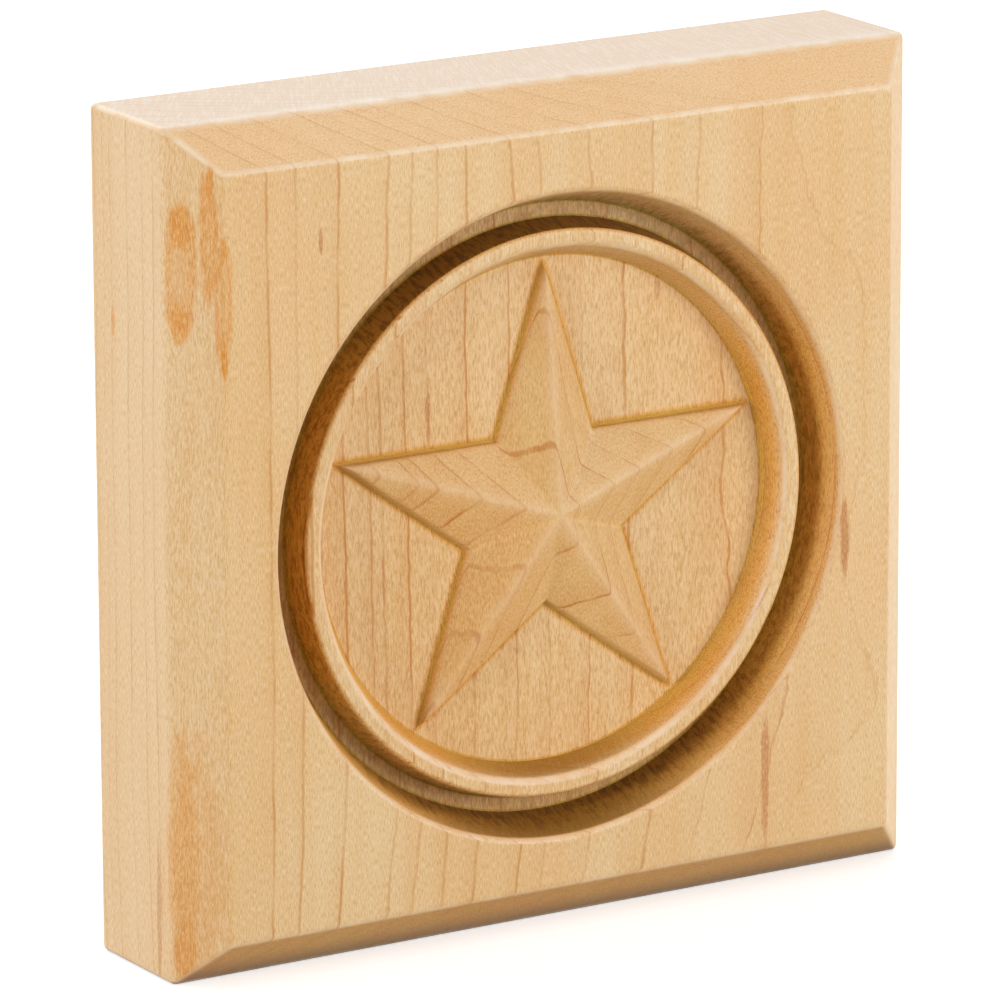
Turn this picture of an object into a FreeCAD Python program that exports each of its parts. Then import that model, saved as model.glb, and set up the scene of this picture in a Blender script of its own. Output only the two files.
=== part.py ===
import FreeCAD, Part
import math
import os

# A corner rosette block for door and window casing, shaped from one piece of hard maple.
# Its front has a bevel along all four edges and a turned recess, in which a raised ring
# surrounds a level field with a carved star.
# Millimetres. X runs across the face, +Z up along the grain, and the front looks along -Y.
# The origin is under the middle of the block, on the surface that it stands on.

Vector = FreeCAD.Vector

# The block
block_side = 88.9           # square face, 3 1/2 in
block_thickness = 19.05     # front to back, 3/4 in
bevel_leg = 4.5             # 45 degree bevel, measured along the face and along the edge
arris_radius = 0.6          # sanded arrises all round the block

# The groove, with depths measured back from the front face
recess_drop = 0.65          # the recess's axis lies this far below the middle of the face
mouth_diameter = 68.0       # where the groove's outer wall meets the front face
mouth_arris_radius = 0.4
groove_depth = 5.0
groove_wall_draft = 20.0    # degrees off square, outer wall
groove_floor_width = 1.65

# The ring between the groove and the field
ring_depth = 1.6            # its top lies this far below the front face
ring_width = 1.75           # across the top, before its edges are rounded
ring_outer_draft = 11.0
ring_inner_draft = 26.0
ring_outer_round = 0.5
ring_inner_round = 1.0

# The field and the star on it
field_depth = 4.5
star_points = 5
star_clearance = 1.2        # from a tip to the foot of the ring
star_rise = 3.8             # apex above the field
star_tip_wall = 1.0         # upright edge of the star at its tips
star_valley_wall = 0.65     # and at the corners between its arms


def lean(height, draft):
    """How far a wall of this height leans sideways at a draft in degrees."""
    return height * math.tan(math.radians(draft))


# Radii of the recess, each one worked out from its outer neighbour
mouth_radius = mouth_diameter / 2
floor_outer_radius = mouth_radius - lean(groove_depth, groove_wall_draft)
floor_inner_radius = floor_outer_radius - groove_floor_width
ring_outer_radius = floor_inner_radius - lean(groove_depth - ring_depth, ring_outer_draft)
ring_inner_radius = ring_outer_radius - ring_width
field_radius = ring_inner_radius - lean(field_depth - ring_depth, ring_inner_draft)
star_tip_radius = field_radius - star_clearance

front_y = -block_thickness / 2
axis_z = block_side / 2 - recess_drop


def bevelled_block():
    """The square block with its bevelled front edges and sanded arrises."""
    half = block_side / 2
    corner = Vector(-half, front_y, 0)
    box = Part.makeBox(block_side, block_thickness, block_side, corner)
    front_face = min(box.Faces, key=lambda face: face.CenterOfMass.y)
    bevelled = box.makeChamfer(bevel_leg, front_face.Edges)
    return bevelled.makeFillet(arris_radius, bevelled.Edges)


def rounded_corner(before, corner, after, radius):
    """Start, middle and end of the arc that rounds a corner of a profile."""
    back = (before - corner).normalize()
    ahead = (after - corner).normalize()
    half_angle = back.getAngle(ahead) / 2
    tangent_length = radius / math.tan(half_angle)
    centre = corner + (back + ahead).normalize() * (radius / math.sin(half_angle))
    middle = centre + (corner - centre).normalize() * radius
    return corner + back * tangent_length, middle, corner + ahead * tangent_length


def rounded_profile(corners):
    """Closed face from corners of (radius out from the axis, depth behind the face, rounding)."""
    points = [Vector(radius, front_y + depth, axis_z) for radius, depth, _ in corners]
    arcs = []
    for i, point in enumerate(points):
        rounding = corners[i][2]
        following = points[(i + 1) % len(points)]
        arcs.append(rounded_corner(points[i - 1], point, following, rounding) if rounding else (point,))
    edges = []
    for i, arc in enumerate(arcs):
        next_start = arcs[(i + 1) % len(arcs)][0]
        if len(arc) > 1:
            edges.append(Part.Arc(*arc).toShape())
        if not arc[-1].isEqual(next_start, Part.Precision.confusion()):
            edges.append(Part.makeLine(arc[-1], next_start))
    return Part.Face(Part.Wire(edges))


def recess():
    """The turned recess as a solid to cut away: field, ring and groove in one profile."""
    half_turn = math.radians(90 - groove_wall_draft) / 2
    lip_radius = mouth_radius + mouth_arris_radius * math.tan(half_turn)
    clear_of_face = -groove_depth
    profile = rounded_profile([
        (0, field_depth, 0),
        (field_radius, field_depth, 0),
        (ring_inner_radius, ring_depth, ring_inner_round),
        (ring_outer_radius, ring_depth, ring_outer_round),
        (floor_inner_radius, groove_depth, 0),
        (floor_outer_radius, groove_depth, 0),
        (mouth_radius, 0, mouth_arris_radius),
        (lip_radius, 0, 0),
        (lip_radius, clear_of_face, 0),
        (0, clear_of_face, 0),
    ])
    return profile.revolve(Vector(0, 0, axis_z), Vector(0, 1, 0), 360)


def star():
    """The carved star: ten facets from the apex down to an upright edge round the outline."""
    turn = math.pi / star_points
    valley_radius = star_tip_radius * math.cos(2 * turn) / math.cos(turn)
    root_y = front_y + (field_depth + block_thickness) / 2
    rim = []
    root = []
    for i in range(2 * star_points):
        at_tip = i % 2 == 0
        radius = star_tip_radius if at_tip else valley_radius
        wall = star_tip_wall if at_tip else star_valley_wall
        angle = math.pi / 2 + i * turn
        x = radius * math.cos(angle)
        z = axis_z + radius * math.sin(angle)
        rim.append(Vector(x, front_y + field_depth - wall, z))
        root.append(Vector(x, root_y, z))
    apex = Vector(0, front_y + field_depth - star_rise, axis_z)
    faces = [Part.Face(Part.makePolygon(root + root[:1]))]
    for i in range(len(rim)):
        j = (i + 1) % len(rim)
        faces.append(Part.Face(Part.makePolygon([apex, rim[i], rim[j], apex])))
        faces.append(Part.Face(Part.makePolygon([rim[i], root[i], root[j], rim[j], rim[i]])))
    solid = Part.Solid(Part.Shell(faces))
    if solid.Volume < 0:
        solid.reverse()
    return solid


def rosette_block():
    """The finished piece, one solid."""
    return bevelled_block().cut(recess()).fuse(star()).removeSplitter()


os.makedirs("parts", exist_ok=True)
finished = rosette_block()
finished.exportStep("parts/rosette_block.step")
print("solids", len(finished.Solids), "valid", finished.isValid(), "volume", round(finished.Volume, 1))
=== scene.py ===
import logging
import math
from dataclasses import dataclass
from enum import Enum
from functools import reduce
from typing import Any, Dict, List, Optional, Sequence, Tuple, Union

import bpy
from mathutils import Matrix, Vector


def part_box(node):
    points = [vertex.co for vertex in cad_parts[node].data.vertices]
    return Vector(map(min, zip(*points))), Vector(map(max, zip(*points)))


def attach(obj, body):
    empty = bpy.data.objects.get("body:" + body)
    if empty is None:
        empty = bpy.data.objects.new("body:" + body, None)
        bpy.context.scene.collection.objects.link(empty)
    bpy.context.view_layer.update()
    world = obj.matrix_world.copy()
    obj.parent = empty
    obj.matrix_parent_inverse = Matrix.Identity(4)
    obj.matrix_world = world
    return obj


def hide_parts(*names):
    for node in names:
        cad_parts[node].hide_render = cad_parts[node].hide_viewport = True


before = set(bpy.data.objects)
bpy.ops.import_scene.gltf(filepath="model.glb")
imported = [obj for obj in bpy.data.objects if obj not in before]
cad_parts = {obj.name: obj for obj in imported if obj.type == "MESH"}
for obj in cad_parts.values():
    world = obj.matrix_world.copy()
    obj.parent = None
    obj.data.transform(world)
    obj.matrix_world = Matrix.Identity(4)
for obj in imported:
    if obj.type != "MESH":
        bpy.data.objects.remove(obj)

MM = 0.001
NODE = "rosette_block"
SLOT = "maple"
LOG = logging.getLogger("rosette")

Colour = Tuple[float, float, float]
Operand = Union["Term", float]


class Term:
    """An output socket that takes part in Python arithmetic."""

    def __init__(self, graph: "Graph", socket: bpy.types.NodeSocket) -> None:
        """Keep the graph that writes new nodes and the socket that carries the value."""
        self.graph = graph
        self.socket = socket

    def out(self, name: str) -> "Term":
        """Another output of the same node."""
        return Term(self.graph, self.graph.find(self.socket.node.outputs, name))

    def __add__(self, other: Operand) -> "Term":
        """This value plus another."""
        return self.graph.math("ADD", self, other)

    def __radd__(self, other: float) -> "Term":
        """A number plus this value."""
        return self.graph.math("ADD", other, self)

    def __sub__(self, other: Operand) -> "Term":
        """This value less another."""
        return self.graph.math("SUBTRACT", self, other)

    def __rsub__(self, other: float) -> "Term":
        """A number less this value."""
        return self.graph.math("SUBTRACT", other, self)

    def __mul__(self, other: Operand) -> "Term":
        """This value times another."""
        return self.graph.math("MULTIPLY", self, other)

    def __rmul__(self, other: float) -> "Term":
        """A number times this value."""
        return self.graph.math("MULTIPLY", other, self)

    def __truediv__(self, other: Operand) -> "Term":
        """This value divided by another."""
        return self.graph.math("DIVIDE", self, other)

    def __rtruediv__(self, other: float) -> "Term":
        """A number divided by this value."""
        return self.graph.math("DIVIDE", other, self)

    def __pow__(self, power: float) -> "Term":
        """This value raised to a power."""
        return self.graph.math("POWER", self, power)

    def __abs__(self) -> "Term":
        """This value without its sign."""
        return self.graph.math("ABSOLUTE", self)

    def __gt__(self, other: Operand) -> "Term":
        """One where this value is the larger, zero elsewhere."""
        return self.graph.math("GREATER_THAN", self, other)

    def __lt__(self, other: Operand) -> "Term":
        """One where this value is the smaller, zero elsewhere."""
        return self.graph.math("LESS_THAN", self, other)

    def at_least(self, floor: Operand) -> "Term":
        """The larger of this value and another."""
        return self.graph.math("MAXIMUM", self, floor)

    def at_most(self, ceiling: Operand) -> "Term":
        """The smaller of this value and another."""
        return self.graph.math("MINIMUM", self, ceiling)

    def root(self) -> "Term":
        """Square root of this value."""
        return self.graph.math("SQRT", self)

    def mixed(self, share: "Term", other: Colour, blend: str = "MIX") -> "Term":
        """This colour with a share of another one laid over it."""
        return self.graph.mix(share, self, other, blend)

    def ramp(self, start: float, end: float, low: float = 0.0, high: float = 1.0) -> "Term":
        """Turn this value into another over a range, with a smooth step.

        Args:
            start: Up to here the result is low.
            end: From here on the result is high.
            low: Result before the step.
            high: Result after the step.

        Returns:
            The result.
        """
        inputs = {"Value": self, "From Min": start, "From Max": end, "To Min": low, "To Max": high}
        return self.graph.add("ShaderNodeMapRange", {"interpolation_type": "SMOOTHSTEP"}, inputs)

    def slope(self, end: float, low: float, high: float) -> "Term":
        """Turn this value into another that runs straight from low at zero to high at an end."""
        inputs = {"Value": self, "From Min": 0.0, "From Max": end, "To Min": low, "To Max": high}
        return self.graph.add("ShaderNodeMapRange", {"clamp": True}, inputs)


class Graph:
    """Writes nodes into one node tree."""

    def __init__(self, tree: bpy.types.NodeTree) -> None:
        """Keep the tree that is written to."""
        self.tree = tree

    @staticmethod
    def find(sockets: Any, key: Union[int, str]) -> bpy.types.NodeSocket:
        """Find a socket of a node.

        Args:
            sockets: The node's inputs or outputs.
            key: Place, identifier or name of the socket.

        Returns:
            The socket.
        """
        if isinstance(key, int):
            return sockets[key]
        named = [socket for socket in sockets if socket.identifier == key]
        return named[0] if named else sockets[key]

    def add(self, kind: str, settings: Optional[Dict[str, Any]] = None,
            inputs: Optional[Dict[Union[int, str], Any]] = None, output: Union[int, str] = 0) -> Term:
        """Add one node.

        Args:
            kind: The node's type.
            settings: Properties, set before any socket.
            inputs: Values or terms for the input sockets.
            output: The output that is wanted.

        Returns:
            The wanted output.
        """
        node = self.tree.nodes.new(kind)
        for name, value in (settings or {}).items():
            setattr(node, name, value)
        for key, value in (inputs or {}).items():
            socket = self.find(node.inputs, key)
            if isinstance(value, Term):
                self.tree.links.new(value.socket, socket)
            else:
                socket.default_value = value
        return Term(self, self.find(node.outputs, output) if node.outputs else None)

    def math(self, operation: str, *values: Operand) -> Term:
        """Add a Math node for an operation on one, two or three values."""
        return self.add("ShaderNodeMath", {"operation": operation}, dict(enumerate(values)))

    def vector(self, operation: str, inputs: Dict[Union[int, str], Any], output: str = "Vector") -> Term:
        """Add a Vector Math node."""
        return self.add("ShaderNodeVectorMath", {"operation": operation}, inputs, output)

    def combine(self, x: Operand, y: Operand, z: Operand) -> Term:
        """Join three values to a vector."""
        return self.add("ShaderNodeCombineXYZ", None, {"X": x, "Y": y, "Z": z})

    def mix(self, share: Operand, first: Any, second: Any, blend: str = "MIX") -> Term:
        """Mix two colours.

        Args:
            share: How much of the second colour shows.
            first: A colour or a term.
            second: A colour or a term.
            blend: How the second colour is laid over the first.

        Returns:
            The mixed colour.
        """
        settings = {"data_type": "RGBA", "blend_type": blend}
        inputs = {"Factor_Float": share, "A_Color": self.opaque(first), "B_Color": self.opaque(second)}
        return self.add("ShaderNodeMix", settings, inputs, "Result_Color")

    @staticmethod
    def opaque(colour: Any) -> Any:
        """A plain colour with its fourth value, or a term as it is."""
        return colour if isinstance(colour, Term) else (*colour, 1.0)

    def noise(self, place: Term, detail: float = 2.0, roughness: float = 0.5) -> Term:
        """Smooth noise about 0.5 with one swell in a unit of the place.

        Args:
            place: Vector to sample at.
            detail: Finer layers added.
            roughness: Strength of each finer layer.

        Returns:
            The noise's value.
        """
        inputs = {"Vector": place, "Scale": 1.0, "Detail": detail, "Roughness": roughness}
        return self.add("ShaderNodeTexNoise", {"noise_dimensions": "3D"}, inputs)


class Carry(Enum):
    """Attributes that the section's points carry into the tree that bends them round the block."""

    STAR = "star_share"
    RING = "ring_radius"
    SQUARE = "square_half"
    DEPTH = "depth"
    LIFT = "lift"
    HOLLOW = "hollow"
    TORN = "torn"
    RUB_AND_GLINT = "rub_and_glint"
    BEARING = "bearing"


@dataclass(frozen=True)
class SectionRow:
    """One line that runs once round the block.

    Attributes:
        star: Share of the star's outline in the line's reach.
        ring: Radius in the line's reach.
        square: Half side of the rounded square in the line's reach.
        depth: Distance behind the front face.
        lift: Share of the star's own height taken off the depth.
        hollow: How much the line lies in a corner, where the finish gathers and shade is painted.
        torn: How much the cutter tore the fibres there.
        rub_and_glint: How pale the line is, from a rub along an arris and a painted highlight.
    """

    star: float = 0.0
    ring: float = 0.0
    square: float = 0.0
    depth: float = 0.0
    lift: float = 0.0
    hollow: float = 0.0
    torn: float = 0.0
    rub_and_glint: float = 0.0


@dataclass(frozen=True)
class Corner:
    """A corner of a section.

    Attributes:
        reach: Distance from the axis.
        depth: Distance behind the front face.
        rounding: Radius of the arc that replaces the corner.
        steps: Straight steps of that arc.
        before: Finish and painted shade on the way to the corner.
        inside: Finish and painted shade on the arc, or nothing for an even change from before to after.
        after: Finish and painted shade beyond the corner.
        lead_in: How far ahead of the arc the value of before holds.
        lead_out: How far beyond the arc the value of after begins.
        rub_and_glint: Paleness of the arc's middle, a rub with a painted highlight.
        spread: Share of that paleness where the arc meets its neighbours.
    """

    reach: float
    depth: float
    rounding: float = 0.0
    steps: int = 4
    before: float = 0.0
    inside: Optional[float] = None
    after: float = 0.0
    lead_in: float = 0.12 * MM
    lead_out: float = 0.12 * MM
    rub_and_glint: float = 0.0
    spread: float = 0.0


@dataclass(frozen=True)
class SectionPoint:
    """A point of a rounded section line.

    Attributes:
        reach: Distance from the axis.
        depth: Distance behind the front face.
        hollow: How much the point lies in a corner, where the finish gathers and shade is painted.
        rub_and_glint: How pale it is, from a rub and a painted highlight.
    """

    reach: float
    depth: float
    hollow: float
    rub_and_glint: float = 0.0


def rounded_line(corners: Sequence[Corner]) -> List[SectionPoint]:
    """Round the corners of an open section line.

    Args:
        corners: The corners, the first and last of which stay as they are.

    Returns:
        Points of the line from the first corner to the last.
    """
    places = [Vector((corner.reach, corner.depth)) for corner in corners]
    line = [SectionPoint(*places[0], corners[0].after)]
    for before, place, after, corner in zip(places, places[1:], places[2:], corners[1:]):
        back = (before - place).normalized()
        ahead = (after - place).normalized()
        half_angle = back.angle(ahead) / 2
        tangent = corner.rounding / math.tan(half_angle)
        centre = place + (back + ahead).normalized() * (corner.rounding / math.sin(half_angle))
        spoke = place + back * tangent - centre
        sweep = spoke.angle_signed(place + ahead * tangent - centre)
        line.append(SectionPoint(*(place + back * (tangent + corner.lead_in)), corner.before))
        for step in range(corner.steps + 1):
            part = step / corner.steps
            hollow = corner.before + (corner.after - corner.before) * part
            if corner.inside is not None:
                hollow = corner.inside
            turned = spoke.copy()
            turned.rotate(Matrix.Rotation(-sweep * part, 2))
            # Paleness of the arc: a rub with a painted highlight, strongest at its middle.
            rub_and_glint = corner.rub_and_glint * (corner.spread + (1 - corner.spread) * 4 * part * (1 - part))
            line.append(SectionPoint(*(centre + turned), hollow, rub_and_glint))
        line.append(SectionPoint(*(place + ahead * (tangent + corner.lead_out)), corner.after))
    line.append(SectionPoint(*places[-1], corners[-1].before))
    return line


@dataclass(frozen=True)
class FinishAndShade:
    """How much finish gathers in each part of the recess, from none to full, and with it how much shade
    is painted there.

    Attributes:
        level: On the level field.
        field_foot: In the corner between the field and the ring.
        ring_foot: On the ring's inner wall, above that corner.
        ring_lip: On that wall, below the ring's rounded top.
        ring_wall: On the ring's outer wall, below its top.
        floor_foot: On that wall, above the groove's floor.
        inner_corner: In the corner between that wall and the floor.
        floor: On the groove's floor.
        outer_corner: In the corner between the floor and the groove's outer wall.
        wall_foot: On the outer wall, above that corner.
        mouth: On the outer wall, below the mouth.
        star: On the star's facets.
        star_rim: What the rounded edge of the facets adds.
        star_wall: On the star's upright edge.
        star_foot: Distances out from the foot of that edge, each with its value.
    """

    level: float = 0.10
    field_foot: float = 0.72
    ring_foot: float = 0.6
    ring_lip: float = 0.25
    ring_wall: float = 0.62
    floor_foot: float = 0.75
    inner_corner: float = 0.9
    floor: float = 0.3
    outer_corner: float = 0.85
    wall_foot: float = 0.6
    mouth: float = 0.36
    star: float = 0.21
    star_rim: float = 0.2
    star_wall: float = 0.72
    # The foot values paint a line of shade on the field round the star.
    star_foot: Tuple[Tuple[float, float], ...] = (
        (0.0, 0.78), (0.12 * MM, 0.64), (0.3 * MM, 0.34), (0.55 * MM, level))


@dataclass
class RosetteBlock:
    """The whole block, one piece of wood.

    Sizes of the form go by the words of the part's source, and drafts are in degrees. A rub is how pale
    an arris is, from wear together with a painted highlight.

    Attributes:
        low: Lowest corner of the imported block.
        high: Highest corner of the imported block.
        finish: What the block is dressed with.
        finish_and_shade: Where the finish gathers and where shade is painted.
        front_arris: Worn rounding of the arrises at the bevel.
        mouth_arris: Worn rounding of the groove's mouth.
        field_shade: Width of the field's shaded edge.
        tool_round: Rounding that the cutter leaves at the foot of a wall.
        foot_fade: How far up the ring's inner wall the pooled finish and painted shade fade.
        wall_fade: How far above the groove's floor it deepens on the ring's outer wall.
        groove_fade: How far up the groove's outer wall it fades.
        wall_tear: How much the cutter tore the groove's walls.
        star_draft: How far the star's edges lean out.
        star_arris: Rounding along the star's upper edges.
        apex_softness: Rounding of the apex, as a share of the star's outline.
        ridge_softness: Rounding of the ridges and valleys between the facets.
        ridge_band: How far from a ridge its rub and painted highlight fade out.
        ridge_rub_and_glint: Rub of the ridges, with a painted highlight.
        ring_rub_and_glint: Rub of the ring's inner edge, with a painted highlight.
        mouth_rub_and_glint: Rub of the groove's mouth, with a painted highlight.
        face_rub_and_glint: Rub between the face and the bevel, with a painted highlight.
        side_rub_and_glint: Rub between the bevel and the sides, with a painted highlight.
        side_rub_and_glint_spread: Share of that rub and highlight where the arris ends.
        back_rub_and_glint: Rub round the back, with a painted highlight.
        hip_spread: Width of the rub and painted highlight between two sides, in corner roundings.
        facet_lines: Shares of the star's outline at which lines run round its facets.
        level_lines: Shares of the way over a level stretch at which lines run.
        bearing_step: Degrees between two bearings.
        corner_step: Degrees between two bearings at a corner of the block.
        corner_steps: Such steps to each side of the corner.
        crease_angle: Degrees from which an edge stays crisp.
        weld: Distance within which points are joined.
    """

    low: Vector
    high: Vector
    finish: "MapleFinish"
    finish_and_shade: FinishAndShade = FinishAndShade()
    bevel: float = 4.5 * MM
    arris: float = 0.6 * MM
    front_arris: float = 1.0 * MM
    recess_drop: float = 0.65 * MM
    mouth_radius: float = 34.0 * MM
    mouth_arris: float = 0.8 * MM
    groove_depth: float = 5.0 * MM
    groove_wall_draft: float = 20.0
    floor_width: float = 1.65 * MM
    ring_depth: float = 1.6 * MM
    ring_width: float = 1.75 * MM
    ring_outer_draft: float = 11.0
    ring_inner_draft: float = 26.0
    ring_outer_round: float = 0.5 * MM
    ring_inner_round: float = 1.0 * MM
    field_depth: float = 4.5 * MM
    field_shade: float = 0.3 * MM
    tool_round: float = 0.15 * MM
    foot_fade: float = 1.2 * MM
    wall_fade: float = 0.6 * MM
    groove_fade: float = 1.1 * MM
    wall_tear: float = 0.5
    star_points: int = 5
    star_clearance: float = 1.2 * MM
    star_rise: float = 3.8 * MM
    tip_wall: float = 1.0 * MM
    valley_wall: float = 0.65 * MM
    star_draft: float = 0.3 * MM
    star_arris: float = 0.35 * MM
    apex_softness: float = 0.02
    ridge_softness: float = 0.3 * MM
    ridge_band: float = 1.2 * MM
    ridge_rub_and_glint: float = 0.25
    ring_rub_and_glint: float = 0.8
    mouth_rub_and_glint: float = 0.5
    face_rub_and_glint: float = 0.9
    side_rub_and_glint: float = 1.0
    side_rub_and_glint_spread: float = 0.8
    back_rub_and_glint: float = 0.6
    hip_spread: float = 1.4
    facet_lines: Tuple[float, ...] = (
        0.0, 0.015, 0.04, 0.08, 0.14, 0.22, 0.32, 0.43, 0.54, 0.65, 0.76, 0.86, 0.94)
    level_lines: Tuple[float, ...] = (0.3, 0.65)
    bearing_step: float = 0.6
    corner_step: float = 0.1
    corner_steps: int = 4
    crease_angle: float = 34.0
    weld: float = 0.002 * MM

    @property
    def half_side(self) -> float:
        """Half the side of the square face."""
        return (self.high.x - self.low.x) / 2

    @property
    def thickness(self) -> float:
        """Front to back."""
        return self.high.y - self.low.y

    @property
    def floor_outer(self) -> float:
        """Radius of the groove's floor on its outer side."""
        return self.mouth_radius - self.groove_depth * math.tan(math.radians(self.groove_wall_draft))

    @property
    def floor_inner(self) -> float:
        """Radius of the groove's floor on its inner side."""
        return self.floor_outer - self.floor_width

    @property
    def ring_outer(self) -> float:
        """Radius of the ring's top on its outer side, before its edge is rounded."""
        wall = self.groove_depth - self.ring_depth
        return self.floor_inner - wall * math.tan(math.radians(self.ring_outer_draft))

    @property
    def ring_inner(self) -> float:
        """Radius of the ring's top on its inner side, before its edge is rounded."""
        return self.ring_outer - self.ring_width

    @property
    def field_radius(self) -> float:
        """Radius of the field."""
        wall = self.field_depth - self.ring_depth
        return self.ring_inner - wall * math.tan(math.radians(self.ring_inner_draft))

    @property
    def tip_radius(self) -> float:
        """From the axis to the star's tips."""
        return self.field_radius - self.star_clearance

    @property
    def edge_distance(self) -> float:
        """From the axis, square to the star's straight edges."""
        return self.tip_radius * math.sin(self.half_tip_angle)

    @property
    def half_tip_angle(self) -> float:
        """Half the angle of a tip of a star whose edges line up in pairs."""
        return math.pi / 2 - 2 * math.pi / self.star_points

    @property
    def field_edge(self) -> float:
        """From the axis to where the field's shaded edge begins."""
        return self.field_radius - self.field_shade

    def star_rows(self) -> List[SectionRow]:
        """Lines of the star and of the field round it.

        Returns:
            Lines from the apex down the facets and the upright edge to the field's own circle.
        """
        level = self.field_depth
        tint = self.finish_and_shade.star
        rows = [SectionRow(star=share, depth=level, lift=1.0, hollow=tint) for share in self.facet_lines]
        rounding = self.star_arris / self.edge_distance
        drop = self.star_arris / self.valley_wall
        for turn in (0, 30, 60, 90):
            inset = 1 - math.sin(math.radians(turn))
            fall = 1 - math.cos(math.radians(turn))
            rows.append(SectionRow(star=1 - rounding * inset, depth=level, lift=1 - drop * fall,
                                   hollow=tint + self.finish_and_shade.star_rim * fall))
        part_of_lean, part_of_drop = 0.3, 1.4
        lean = self.star_draft / self.edge_distance
        rows.append(SectionRow(star=1 + lean * part_of_lean, depth=level, lift=1 - drop * part_of_drop,
                               hollow=self.finish_and_shade.star_wall))
        # These rows paint a line of shade on the field round the star's edge.
        for offset, hollow in self.finish_and_shade.star_foot:
            foot = 1 + (self.star_draft + offset) / self.edge_distance
            rows.append(SectionRow(star=foot, depth=level, hollow=hollow))
        for part in self.level_lines:
            rows.append(SectionRow(star=foot * (1 - part), ring=self.field_edge * part, depth=level,
                                   hollow=self.finish_and_shade.level))
        return rows

    def recess_rows(self) -> List[SectionRow]:
        """Lines of the recess.

        Returns:
            Lines from the field's edge over the ring and the groove to the front face.
        """
        # The hollow values of these corners paint shade in the recess's corners and on its walls,
        # together with the pooled finish.
        tint = self.finish_and_shade
        corners = [
            Corner(self.field_edge, self.field_depth, after=tint.level),
            Corner(self.field_radius, self.field_depth, self.tool_round, 3, before=tint.level,
                   inside=tint.field_foot, after=tint.ring_foot, lead_out=self.foot_fade),
            # The ring's inner edge and the mouth carry a rub with a painted highlight.
            Corner(self.ring_inner, self.ring_depth, self.ring_inner_round, 7,
                   before=tint.ring_lip, rub_and_glint=self.ring_rub_and_glint),
            Corner(self.ring_outer, self.ring_depth, self.ring_outer_round, 6, after=tint.ring_wall),
            Corner(self.floor_inner, self.groove_depth, self.tool_round, 3, before=tint.floor_foot,
                   inside=tint.inner_corner, after=tint.floor,
                   lead_in=self.wall_fade, lead_out=self.tool_round),
            Corner(self.floor_outer, self.groove_depth, self.tool_round, 3, before=tint.floor,
                   inside=tint.outer_corner, after=tint.wall_foot,
                   lead_in=self.tool_round, lead_out=self.groove_fade),
            Corner(self.mouth_radius, 0.0, self.mouth_arris, 6, before=tint.mouth, rub_and_glint=self.mouth_rub_and_glint),
            Corner(self.mouth_radius + self.mouth_arris * 2, 0.0),
        ]
        return [SectionRow(ring=point.reach, depth=point.depth, hollow=point.hollow,
                           torn=self.torn_at(point), rub_and_glint=point.rub_and_glint)
                for point in rounded_line(corners)]

    def torn_at(self, point: SectionPoint) -> float:
        """How much the cutter tore the fibres at a point of the recess.

        Args:
            point: The point.

        Returns:
            One on the groove's floor, less on the groove's walls, and nothing elsewhere.
        """
        if point.depth > self.groove_depth - self.tool_round / 2:
            return 1.0
        in_groove = point.reach > self.ring_outer and point.depth > self.mouth_arris
        return self.wall_tear if in_groove else 0.0

    def outer_rows(self) -> List[SectionRow]:
        """Lines of the outside.

        Returns:
            Lines from the mouth over the face, the bevel and the sides to the middle of the back.
        """
        mouth = self.mouth_radius + self.mouth_arris * 2
        face_half = self.half_side - self.bevel
        start = face_half - self.bevel / 2
        rows = []
        for part in self.level_lines:
            rows.append(SectionRow(ring=mouth * (1 - part), square=start * part))
        face_lead, side_lead_in, side_lead_out = 0.3 * MM, 0.4 * MM, 1.6 * MM
        # The arrises carry a rub with a painted highlight.
        corners = [
            Corner(start, 0.0),
            Corner(face_half, 0.0, self.front_arris, 5,
                   lead_in=face_lead, lead_out=face_lead, rub_and_glint=self.face_rub_and_glint),
            Corner(self.half_side, self.bevel, self.front_arris, 5, lead_in=side_lead_in,
                   lead_out=side_lead_out, rub_and_glint=self.side_rub_and_glint, spread=self.side_rub_and_glint_spread),
            Corner(self.half_side, self.thickness, self.arris, 5, rub_and_glint=self.back_rub_and_glint),
            Corner(0.0, self.thickness),
        ]
        line = rounded_line(corners)
        for point in line[:-1]:
            rows.append(SectionRow(square=point.reach, depth=point.depth, rub_and_glint=point.rub_and_glint))
        for part in (0.66, 0.33, 0.0):
            rows.append(SectionRow(square=line[-2].reach * part, depth=self.thickness))
        return rows

    def bearings(self) -> List[float]:
        """Directions of the lines that run from the apex outwards.

        Returns:
            Angles in radians over one full turn, closer together at the block's corners. They fall, so
            that the faces look outward.
        """
        turns = {round(i * self.bearing_step, 4) for i in range(round(360 / self.bearing_step) + 1)}
        for corner in (45, 135, 225, 315):
            turns.update(round(corner + i * self.corner_step, 4)
                         for i in range(-self.corner_steps, self.corner_steps + 1))
        return [math.radians(turn) for turn in sorted(turns, reverse=True)]

    def section_mesh(self, rows: Sequence[SectionRow], bearings: Sequence[float]) -> bpy.types.Mesh:
        """Put the section's lines and the bearings into one mesh of loose points.

        Args:
            rows: Lines round the block, one point each.
            bearings: Directions out from the apex, one point each, after the lines.

        Returns:
            The mesh, whose attributes hold the values.
        """
        mesh = bpy.data.meshes.new(NODE + "_section")
        mesh.from_pydata([(0, 0, 0)] * (len(rows) + len(bearings)), [], [])
        for carry in Carry:
            if carry is Carry.BEARING:
                numbers = [0.0] * len(rows) + list(bearings)
            else:
                numbers = [getattr(row, carry.name.lower()) for row in rows] + [0.0] * len(bearings)
            mesh.attributes.new(carry.value, "FLOAT", "POINT").data.foreach_set("value", numbers)
        return mesh

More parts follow.
